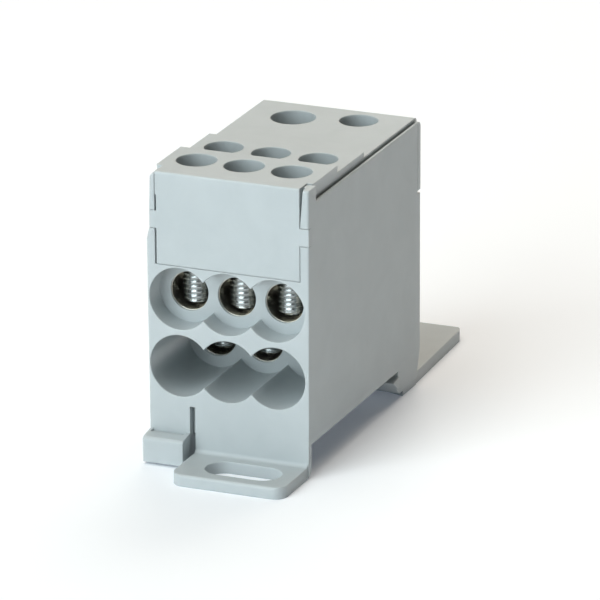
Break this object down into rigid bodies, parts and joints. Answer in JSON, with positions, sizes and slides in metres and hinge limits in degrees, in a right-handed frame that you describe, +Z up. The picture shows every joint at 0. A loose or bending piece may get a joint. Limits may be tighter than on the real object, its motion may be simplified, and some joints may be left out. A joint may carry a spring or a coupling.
{
  "type": "power distribution block",
  "caption": "Single-pole distribution block with a moulded rail-mount housing, stepped top cover, round wire entries and headless clamp screws.",
  "frame": {"origin": "on the mounting plane, midway between the ends of the feet and between the two sides", "axes": "+Z up from the mounting plane, -Y towards the outgoing wires, +Y towards the incoming wires"},
  "size_m": [0.028, 0.0816, 0.0485],
  "materials": {
    "housing_plastic": "moulded light grey polyamide, satin",
    "cover_plastic": "moulded light grey polyamide, satin",
    "terminal_metal": "tin-plated, drilled and tapped",
    "screw_steel": "bright zinc-plated"
  },
  "bodies": {
    "block": {"housing": "housing_plastic", "top_cover": "cover_plastic", "terminal_block": "terminal_metal"},
    "outgoing_screw_1": {"outgoing_screw_1": "screw_steel"},
    "outgoing_screw_2": {"outgoing_screw_2": "screw_steel"},
    "outgoing_screw_3": {"outgoing_screw_3": "screw_steel"},
    "outgoing_screw_4": {"outgoing_screw_4": "screw_steel"},
    "outgoing_screw_5": {"outgoing_screw_5": "screw_steel"},
    "outgoing_screw_6": {"outgoing_screw_6": "screw_steel"},
    "incoming_screw_large": {"incoming_screw_large": "screw_steel"},
    "incoming_screw_small": {"incoming_screw_small": "screw_steel"}
  },
  "joints": [
    {"name": "outgoing_screw_1_travel", "type": "slide", "parent": "block", "child": "outgoing_screw_1", "axis": [0, 0, 1], "range_m": [0, 0.0061]},
    {"name": "outgoing_screw_2_travel", "type": "slide", "parent": "block", "child": "outgoing_screw_2", "axis": [0, 0, 1], "range_m": [0, 0.0061]},
    {"name": "outgoing_screw_3_travel", "type": "slide", "parent": "block", "child": "outgoing_screw_3", "axis": [0, 0, 1], "range_m": [0, 0.0061]},
    {"name": "outgoing_screw_4_travel", "type": "slide", "parent": "block", "child": "outgoing_screw_4", "axis": [0, 0, 1], "range_m": [0, 0.0061]},
    {"name": "outgoing_screw_5_travel", "type": "slide", "parent": "block", "child": "outgoing_screw_5", "axis": [0, 0, 1], "range_m": [0, 0.0061]},
    {"name": "outgoing_screw_6_travel", "type": "slide", "parent": "block", "child": "outgoing_screw_6", "axis": [0, 0, 1], "range_m": [0, 0.0061]},
    {"name": "incoming_screw_large_travel", "type": "slide", "parent": "block", "child": "incoming_screw_large", "axis": [0, 0, 1], "range_m": [-0.0086, 0]},
    {"name": "incoming_screw_small_travel", "type": "slide", "parent": "block", "child": "incoming_screw_small", "axis": [0, 0, 1], "range_m": [-0.0063, 0]}
  ]
}
